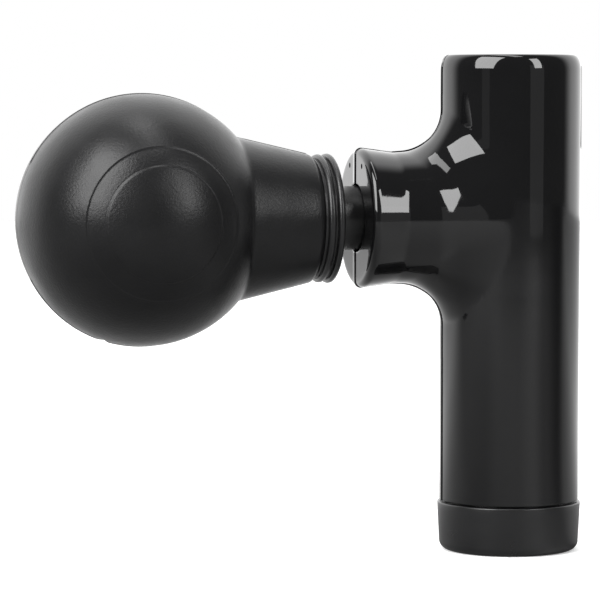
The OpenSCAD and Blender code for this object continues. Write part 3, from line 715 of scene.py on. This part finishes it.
foot_r, foot_edge, rim_edge = 19.9, 2.6, 0.35
cap_floor, cap_inner_r, socket_r = 2.4, 16.4, 17.9
ledge_z = shell_z + 3.3
cap_screw_y, boss_r, screw_head_r, screw_shank_r = 12.5, 2.8, 2.25, 1.15
port_y, port_z, port_r = 4.7, 7.6, 1.8
cap_profile = [(0, 0), (0, 9), (0, 16.2)]
cap_profile += [(z, r) for r, z in arc(foot_r - foot_edge, foot_edge, foot_edge, -90, 0, 9)]
cap_profile += [(h, foot_r + (cap_rim_r - foot_r) * (h - foot_edge) / (cap_h - foot_edge))
                for h in np.linspace(foot_edge, cap_h - rim_edge, 8)[1:]]
cap_profile += [(z, r) for r, z in arc(cap_rim_r - 0.37, cap_h - rim_edge, rim_edge, 15, 90, 4)]
cap_profile += [(cap_h, 19.0), (cap_h, socket_r), (ledge_z, socket_r),
                (ledge_z + 0.3, socket_r - 0.3), (ledge_z + 0.3, cap_inner_r),
                (6.0, cap_inner_r), (cap_floor, cap_inner_r), (cap_floor, 8), (cap_floor, 0)]
cap = lathe("cap", cap_profile, "Z", (0, 0, 0), 120, "housing", "cap_plastic", "end_cap")


def at_cap_screws(r, z0, z1, n):
    return [tube_solid((0, side * cap_screw_y, 0), "Z", r, z0, z1, n) for side in (-1, 1)]


boolean(cap, *joined(*at_cap_screws(boss_r, 2.0, shell_z, 32)), op="UNION")
port = prism(arc(port_y - port_r, port_z, port_r, -90, 90, 12)
             + arc(-port_y + port_r, port_z, port_r, 90, 270, 12), 16, 24)
boolean(cap, *joined(port, *at_cap_screws(screw_head_r, -1, 2.6, 32),
                     *at_cap_screws(screw_shank_r, cap_floor, shell_z + 1, 24)))
shade(cap, 32)

# ---------- massage head ----------

neck_r, neck_slope, neck_chamfer, neck_fillet = 18.1, 0.235, 1.4, 1.6
core_r, core_depth = 15.05, 18.0
band_in, band_out, band_edge, band_depth = 27.2, 36.8, 0.16, 0.16     # the first three in degrees
lip_w, flash_w, flash_h, neck_flash_h = 0.5, 0.22, 0.07, 0.05
cone_x = neck_x - neck_chamfer
ball_c = np.array([-ball_x, 0, axis_z])


def cone_radius(x):
    return neck_r + neck_slope * (cone_x - x)


def ball_field(p):
    d = p - ball_c
    rho = np.maximum(np.linalg.norm(d, axis=1), 1e-9)
    a, n1 = rho - ball_r, d / rho[:, None]
    s = np.maximum(np.hypot(p[:, 1], p[:, 2] - axis_z), 1e-9)
    k = 1 / math.sqrt(1 + neck_slope ** 2)
    b = (s - cone_radius(p[:, 0])) * k
    n2 = np.stack([np.full_like(s, neck_slope * k), p[:, 1] / s * k,
                   (p[:, 2] - axis_z) / s * k], axis=1)
    neck_side = p[:, 0] > -ball_x
    return np.where(neck_side, blend_field(a, n1, b, n2, neck_fillet), a)


def ball_dent(polar, height):
    """Depth of the mould marks: a shallow ring round each side, a raised line where the halves meet."""
    inner = 1 / (1 + np.exp(-(polar - band_in) / band_edge))
    outer = 1 / (1 + np.exp(-(polar - band_out) / band_edge))
    band = inner - outer
    lip = np.exp(-((polar - band_out) / lip_w) ** 2) * 0.05
    lip -= np.exp(-((polar - band_in) / lip_w) ** 2) * 0.04
    flash = np.exp(-(height / flash_w) ** 2) * flash_h
    return -band_depth * band + 1.5 * lip + flash


def ball_half():
    """The ball's half sphere has a gap where the neck joins, and rings of points lead from the
    gap's border to the neck's cone, its end face and the bore that holds the neck's core."""
    sheet = Sheet()
    polar = np.unique(np.concatenate([
        np.linspace(2, 25.5, 13), np.linspace(26, 28.4, 9), np.linspace(29.5, 34.5, 4),
        np.linspace(35.4, 38.2, 10), [39.0], np.linspace(40, 88.4, 30),
        [89.1, 89.55, 89.8, 90.0]]))
    n_lon, half_patch = 180, 27
    lon = np.arange(n_lon) * 2 * math.pi / n_lon
    order = polar[::-1]
    j1 = int(np.argmin(np.abs(order - 40.0)))
    cut_cols = [i % n_lon for i in range(-half_patch + 1, half_patch)]
    grid, seam = [], set()
    for j, t in enumerate(order):
        a = math.radians(t)
        pts = np.stack([-ball_x + ball_r * math.sin(a) * np.cos(lon),
                        np.full(n_lon, -ball_r * math.cos(a)),
                        axis_z + ball_r * math.sin(a) * np.sin(lon)], axis=1)
        ids = [None] * n_lon
        keep = [i for i in range(n_lon) if j >= j1 or i not in cut_cols]
        for i, v in zip(keep, sheet.add(pts[keep])):
            ids[i] = v
        if j == 0:
            seam.update(v for v in ids if v is not None)
        grid.append(ids)
    for a, b in zip(grid, grid[1:]):
        for i in range(n_lon):
            k = (i + 1) % n_lon
            quad = [a[i], a[k], b[k], b[i]]
            if None not in quad:
                sheet.faces.append(quad)
    pole = sheet.add([[-ball_x, -ball_r, axis_z]])[0]
    sheet.strip(grid[-1], [pole] * n_lon, closed=True)

    path = ([grid[j][half_patch] for j in range(j1)]
            + [grid[j1][i % n_lon] for i in range(half_patch, -half_patch - 1, -1)]
            + [grid[j][-half_patch] for j in range(j1 - 1, -1, -1)])
    start = np.array(sheet.points)[path]
    lengths = np.concatenate([[0], np.cumsum(np.linalg.norm(np.diff(start, axis=0), axis=1))])
    f = lengths / lengths[-1]
    edge = 6
    even = np.linspace(f[edge], f[-1 - edge], len(f) - 2 * edge)
    f = np.concatenate([f[:edge], even, f[-edge:]])

    def neck_ring(x, r):
        t = math.pi * f
        return np.stack([np.full_like(t, x), -r * np.sin(t), axis_z + r * np.cos(t)], axis=1)

    join_x = -77.0
    end = neck_ring(join_x, cone_radius(join_x))
    free, row, steps = set(), path, 20
    for t in np.linspace(0, 1, steps + 1)[1:]:
        ids = sheet.add(start * (1 - t) + end * t)
        if t < 1:
            free.update(ids)
        seam.update((ids[0], ids[-1]))
        sheet.strip(row, ids)
        row = ids
    pts = np.array(sheet.points)
    pts[sorted(free)] = project(pts[sorted(free)], ball_field,
                                np.array([i in seam for i in sorted(free)]), 10)
    sheet.points = pts.tolist()
    relax(sheet, free, seam, ball_field, 60)
    rings = [(x, cone_radius(x)) for x in np.linspace(join_x, cone_x - 0.5, 16)[1:]]
    rings += [(cone_x - 0.15, neck_r + 0.02), (cone_x + 0.2, neck_r - 0.14),
              (cone_x + 0.7, neck_r - 0.62), (neck_x - 0.2, 17.02), (neck_x, 16.7),
              (neck_x, 16.0), (neck_x, core_r), (neck_x - 1.0, core_r),
              (neck_x - core_depth / 2, core_r), (neck_x - core_depth, core_r)]
    for x, r in rings:
        ids = sheet.add(neck_ring(x, r))
        seam.update((ids[0], ids[-1]))
        sheet.strip(row, ids)
        row = ids
    centre = sheet.add([[neck_x - core_depth, 0, axis_z]])[0]
    sheet.strip(row, [centre] * len(row))
    pts = np.array(sheet.points)
    d = pts - ball_c
    rho = np.linalg.norm(d, axis=1)
    on_ball = (rho > ball_r - 0.3) & (rho < ball_r + 0.3)
    pole_angle = np.degrees(np.arccos(np.clip(np.abs(d[:, 1]) / np.maximum(rho, 1e-9), 0, 1)))
    dent = np.where(on_ball, ball_dent(pole_angle, np.abs(d[:, 1])), 0)
    outside = (pts[:, 0] < cone_x - 0.4)
    radial = pts - np.stack([pts[:, 0], 0 * rho, np.full_like(rho, axis_z)], axis=1)
    around = unit(radial)
    neck_line = np.where(~on_ball & outside & (np.linalg.norm(radial, axis=1) > 16.9),
                         np.exp(-(pts[:, 1] / flash_w) ** 2) * neck_flash_h, 0)
    # the mould's gate mark, low on the front
    gate_depth, gate_w, gate_len = 0.45, 0.9, 2.6
    low_front = np.array([-0.316, 0, -0.948])
    gate = low_front * ball_r
    along = np.hypot(pts[:, 1], 0.3 * (d[:, 2] - gate[2]))
    across = (d - gate) @ np.array([-low_front[2], 0, low_front[0]])
    dent = dent - on_ball * gate_depth * np.exp(-(across / gate_w) ** 2 - (along / gate_len) ** 2)
    pts = pts + unit(d) * dent[:, None] + around * neck_line[:, None]
    sheet.points = pts.tolist()
    return sheet


half = ball_half()
# the far half stands a little proud of the near one along the mould's parting line
parting_step, parting_near, parting_reach, shoulder_x = 0.16, 0.5, 2.5, -82
mirror = np.array(half.points) * [1, -1, 1]
from_seam = np.abs(mirror[:, 1])
axis_point = mirror * [1, 0, 0] + [0, 0, axis_z]
outward = unit(mirror - np.where(mirror[:, :1] < shoulder_x, ball_c, axis_point))
lift = np.where(mirror[:, 0] < cone_x, parting_step, 0) * smooth(from_seam / 0.12)
lift *= 1 - smooth((from_seam - parting_near) / parting_reach)
lift *= np.linalg.norm(mirror - axis_point, axis=1) > core_r + 1
mirror = mirror + outward * lift[:, None]
ball_points = half.points + mirror.tolist()
ball_faces = half.faces + [[i + len(mirror) for i in f[::-1]] for f in half.faces]
make_object("ball", ball_points, ball_faces, "massage_head", "ball_rubber", "massage_ball",
            smooth=30)


def turned(name, outline, replaces):
    """A piece of the head turned about the barrel's axis. outline holds (x, r)."""
    return lathe(name, outline, "X", (0, 0, axis_z), 140, "massage_head", "head_plastic", replaces)


def disc_edge(x0, x1, r, e):
    """Rim of a disc from x0 to x1 with both edges rounded by e."""
    return ([(x0 + e - e * math.sin(a), r - e + e * math.cos(a))
             for a in np.linspace(math.pi / 2, 0, 5)]
            + [(x1 - e + e * math.sin(a), r - e + e * math.cos(a))
               for a in np.linspace(0, math.pi / 2, 5)])


hub_r, disc_t, groove_w, disc2_t = 16.8, 1.8, 0.7, 2.1
screw_hole_r, spigot_r, spigot_fit = 1.6, 12.0, 0.05
collar_edge, clamp_edge = 0.86, 0.98
collar_back = -collar_x
collar_front = collar_back - disc_t
clamp_back = collar_front - groove_w
clamp_front = clamp_back - disc2_t
turned("collar", [(neck_x, screw_hole_r), (neck_x, spigot_r), (clamp_back, spigot_r),
                  (clamp_back, hub_r), (collar_front - 0.02, hub_r),
                  (collar_front - 0.01, collar_r - 1.2)]
       + disc_edge(collar_front, collar_back, collar_r, collar_edge)
       + [(collar_back, 14), (collar_back, 9.3), (collar_back, screw_hole_r)], "collar_disc")
turned("clamp", [(neck_x, spigot_r + spigot_fit), (neck_x, hub_r), (clamp_front - 0.01, hub_r),
                 (clamp_front, disc2_r - 1.0)]
       + disc_edge(clamp_front, clamp_back - 0.01, disc2_r, clamp_edge)
       + [(clamp_back - 0.01, 14), (clamp_back - 0.01, spigot_r + spigot_fit)], "clamp_ring")

# ---------- control panel with the holes for the lenses, and the button ---

panel_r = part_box("control_panel")[1].x / MM
button_z, button_r = 121.5, 4.2
led_z = [127.8 + 1.9 * i for i in range(5)]
led_hole_r, button_gap = 0.7, 0.15


def curved_panel():
    """Rounded rectangle that follows the handle, with soft edges."""
    sheet = Sheet()
    edge, thick = 0.45, 2.0
    outline = rounded_outline(panel_half_w, panel_z0, panel_z1, panel_corner)
    dense = []
    for k in range(len(outline)):
        (y0, z0), (y1, z1) = outline[k], outline[(k + 1) % len(outline)]
        n = max(1, int(math.hypot(y1 - y0, z1 - z0)))     # about one point per millimetre
        dense += [(y0 + (y1 - y0) * i / n, z0 + (z1 - z0) * i / n) for i in range(n)]
    dense = np.array(dense)
    spine_z = np.clip(dense[:, 1], panel_z0 + panel_half_w, panel_z1 - panel_half_w)
    spine = np.stack([0 * spine_z, spine_z], axis=1)
    direction = unit(spine - dense)

    def ring(shrink, r, toward=None):
        p = dense + direction * shrink if toward is None else dense * (1 - toward) + spine * toward
        return np.stack([np.sqrt(np.maximum(r * r - p[:, 0] ** 2, 1)), p[:, 0], p[:, 1]], axis=1)

    rows = [ring(0, panel_r - thick), ring(0, panel_r - thick / 2)]
    rows += [ring(edge * (1 - math.cos(a)), panel_r - edge + edge * math.sin(a))
             for a in np.linspace(0, math.pi / 2, 6)]
    rows += [ring(0, panel_r, toward=t) for t in (0.12, 0.25, 0.4, 0.55, 0.7, 0.85, 1.0)]
    first = row = sheet.add(rows[0])
    for r in rows[1:]:
        ids = sheet.add(r)
        sheet.strip(row, ids, closed=True)
        row = ids
    row = first
    for t in (0.3, 0.6, 1.0):
        ids = sheet.add(ring(0, panel_r - thick, toward=t))
        sheet.strip(ids, row, closed=True)
        row = ids
    return sheet


sheet = curved_panel()
panel = make_object("panel", sheet.points, sheet.faces, "housing", "panel_plastic", "control_panel")
bm = bmesh.new()
bm.from_mesh(panel.data)
bmesh.ops.remove_doubles(bm, verts=bm.verts, dist=0.02 * MM)
bmesh.ops.holes_fill(bm, edges=[e for e in bm.edges if e.is_boundary], sides=0)
bmesh.ops.recalc_face_normals(bm, faces=bm.faces)
bm.to_mesh(panel.data)
bm.free()
boolean(panel, *joined(tube_solid((0, 0, button_z), "X", button_r + button_gap, 10, 30, 48),
                       *[tube_solid((0, 0, z), "X", led_hole_r, 10, 30, 20) for z in led_z]))
shade(panel, 32)
face_x = panel_r - 0.42   # flush with the panel at the left and right of the button
stem_x, stem_r, flange_x0, flange_x1 = 15.6, 1.4, 17.0, 17.9
flange_r, face_edge = button_r + 0.6, 0.5
button_profile = [(stem_x, 0), (stem_x, stem_r), (flange_x0, stem_r), (flange_x0, flange_r),
                  (flange_x1, flange_r), (flange_x1, button_r), (face_x - face_edge, button_r)]
button_profile += [(x, r) for r, x in arc(button_r - face_edge, face_x - face_edge, face_edge,
                                          0, 90, 5)]
button_profile += [(face_x - 0.06, 3.2), (face_x - 0.16, 2.2), (face_x - 0.22, 1.1),
                   (face_x - 0.24, 0)]
lathe("button", button_profile, "X", (0, 0, button_z), 64, "button", "button_rubber",
      "power_button")

# ---------- camera, floor and light ----------

target, object_centre = Vector((-0.0618, 0, 0.0729)), Vector((-0.05, 0, 0.09))
yaw, pitch, distance = math.radians(14.4), math.radians(3.8), 0.9
forward = Vector((math.sin(yaw) * math.cos(pitch), math.cos(yaw) * math.cos(pitch),
                  -math.sin(pitch)))
camera = bpy.data.objects.new("camera", bpy.data.cameras.new("camera"))
scene.collection.objects.link(camera)
camera.location = target - forward * distance
camera.rotation_mode = "QUATERNION"
camera.rotation_quaternion = forward.to_track_quat("-Z", "Y")
camera.data.sensor_width = 36
camera.data.lens = 192
camera.data.clip_start, camera.data.clip_end = 0.01, 50
scene.camera = camera


def by_depth(tree, coordinate, start, end, front, back):
    """A smooth change from front to back, along the level direction that the scene faces."""
    dot = tree.nodes.new("ShaderNodeVectorMath")
    dot.operation = "DOT_PRODUCT"
    dot.inputs[1].default_value = (math.sin(yaw), math.cos(yaw), 0)
    tree.links.new(tree.nodes.new("ShaderNodeTexCoord").outputs[coordinate], dot.inputs[0])
    change = tree.nodes.new("ShaderNodeMapRange")
    change.interpolation_type = "SMOOTHSTEP"
    ends = {"From Min": start, "From Max": end, "To Min": front, "To Max": back}
    for socket, value in ends.items():
        change.inputs[socket].default_value = value
    tree.links.new(dot.outputs["Value"], change.inputs["Value"])
    return change.outputs["Result"]


def by_azimuth(tree, tones):
    """Painted light and shade: tones that change smoothly round the object, by azimuth in degrees from the
    camera's side.
    """
    turn = tree.nodes.new("ShaderNodeMapping")
    turn.vector_type = "TEXTURE"
    turn.inputs["Location"].default_value = -floor.location
    turn.inputs["Rotation"].default_value = (0, 0, -math.radians(90) - yaw)
    angle = tree.nodes.new("ShaderNodeTexGradient")
    angle.gradient_type = "RADIAL"
    ramp = tree.nodes.new("ShaderNodeValToRGB")
    ramp.color_ramp.interpolation = "EASE"
    while len(ramp.color_ramp.elements) < len(tones):
        ramp.color_ramp.elements.new(0.5)
    for element, (azimuth, tone) in zip(ramp.color_ramp.elements, tones.items()):
        element.position = azimuth / 360 + 0.5
        element.color = (tone, tone, tone, 1)
    tree.links.new(tree.nodes.new("ShaderNodeTexCoord").outputs["Object"], turn.inputs["Vector"])
    tree.links.new(turn.outputs["Vector"], angle.inputs["Vector"])
    tree.links.new(angle.outputs["Fac"], ramp.inputs["Fac"])
    return ramp.outputs["Color"]


def seen_or_reflected(tree, seen, reflected, output):
    """One shader for what the camera sees directly, and another for reflections and lighting."""
    path = tree.nodes.new("ShaderNodeLightPath")
    choose = tree.nodes.new("ShaderNodeMixShader")
    tree.links.new(path.outputs["Is Camera Ray"], choose.inputs[0])
    tree.links.new(reflected.outputs[0], choose.inputs[1])
    tree.links.new(seen.outputs[0], choose.inputs[2])
    tree.links.new(choose.outputs[0], output.inputs["Surface"])


floor_r = 2.2
floor_mesh = bpy.data.meshes.new("floor")
bm = bmesh.new()
bmesh.ops.create_circle(bm, cap_ends=True, segments=96, radius=floor_r)
bm.to_mesh(floor_mesh)
bm.free()
floor = bpy.data.objects.new("floor", floor_mesh)
floor.location = (-0.05, 0.05, 0)
scene.collection.objects.link(floor)
floor_mat = material("floor_paper", (0.9, 0.9, 0.9), 0.7, grain=0.002, bump=0.00002, mottle=0.01)
floor_tree = floor_mat.node_tree
socket_set(floor_tree.nodes["Principled BSDF"], Emission_Color=(1, 1, 1, 1), Emission_Strength=0.3)
# painted reflection and painted shade: for every ray but the camera's, the floor is a diffuse painted
# lighter and darker by azimuth round the object and darker towards the camera's side, so the glossy casing
# shows painted bright and dark streaks; the camera sees the plain bright floor
painted_reflection_tones = {-90: 1.0, -44: 0.85, -17: 1.15, 9: 1.25, 35: 1.7, 57: 1.05, 82: 0.45, 97: 1.0}
painted_reflection_floor = floor_tree.nodes.new("ShaderNodeBsdfDiffuse")
painted_light_and_shade = floor_tree.nodes.new("ShaderNodeVectorMath")
painted_light_and_shade.operation = "MULTIPLY"
floor_tree.links.new(by_azimuth(floor_tree, painted_reflection_tones), painted_light_and_shade.inputs[0])
floor_tree.links.new(by_depth(floor_tree, "Object", -0.12, 0.3, 0.22, 0.9), painted_light_and_shade.inputs[1])
floor_tree.links.new(painted_light_and_shade.outputs["Vector"], painted_reflection_floor.inputs["Color"])
seen_or_reflected(floor_tree, floor_tree.nodes["Principled BSDF"], painted_reflection_floor, floor_tree.nodes["Material Output"])
floor.data.materials.append(floor_mat)


def softbox(name, azimuth, elevation, width, height, radiance, distance=1.3):
    """Area light seen from the object at an azimuth from the camera's side and an elevation."""
    a = math.radians(azimuth) - yaw
    e = math.radians(elevation)
    out = Vector((math.sin(a) * math.cos(e), -math.cos(a) * math.cos(e), math.sin(e)))
    light = bpy.data.lights.new(name, "AREA")
    light.shape = "RECTANGLE"
    light.size = 2 * distance * math.tan(math.radians(width / 2))
    light.size_y = 2 * distance * math.tan(math.radians(height / 2))
    light.energy = radiance * math.pi * light.size * light.size_y
    o = bpy.data.objects.new(name, light)
    scene.collection.objects.link(o)
    o.location = object_centre + out * distance
    o.rotation_mode = "QUATERNION"
    o.rotation_quaternion = (-out).to_track_quat("-Z", "Y")
    o.visible_camera = False


softbox("softbox_left", -45.5, 37, 35, 54, 9.4)
softbox("softbox_right", 44.5, 28, 12.5, 36, 9.4)
softbox("card_left", -42, 8, 13, 22, 0.18)
softbox("card_right", 42.5, 8, 23, 22, 0.28)
softbox("top_strip", 28, 86.5, 11, 40, 5.2, 1.1)

world = bpy.data.worlds.new("studio")
scene.world = world
world.use_nodes = True
world_tree = world.node_tree
world_tree.nodes.clear()
sky = world_tree.nodes.new("ShaderNodeBackground")
world_tree.links.new(by_depth(world_tree, "Generated", 0.05, 0.45, 0.2, 2.3), sky.inputs["Strength"])
white = world_tree.nodes.new("ShaderNodeBackground")
white.inputs["Color"].default_value = (1, 1, 1, 1)
seen_or_reflected(world_tree, white, sky, world_tree.nodes.new("ShaderNodeOutputWorld"))
scene.view_settings.view_transform = "Standard"
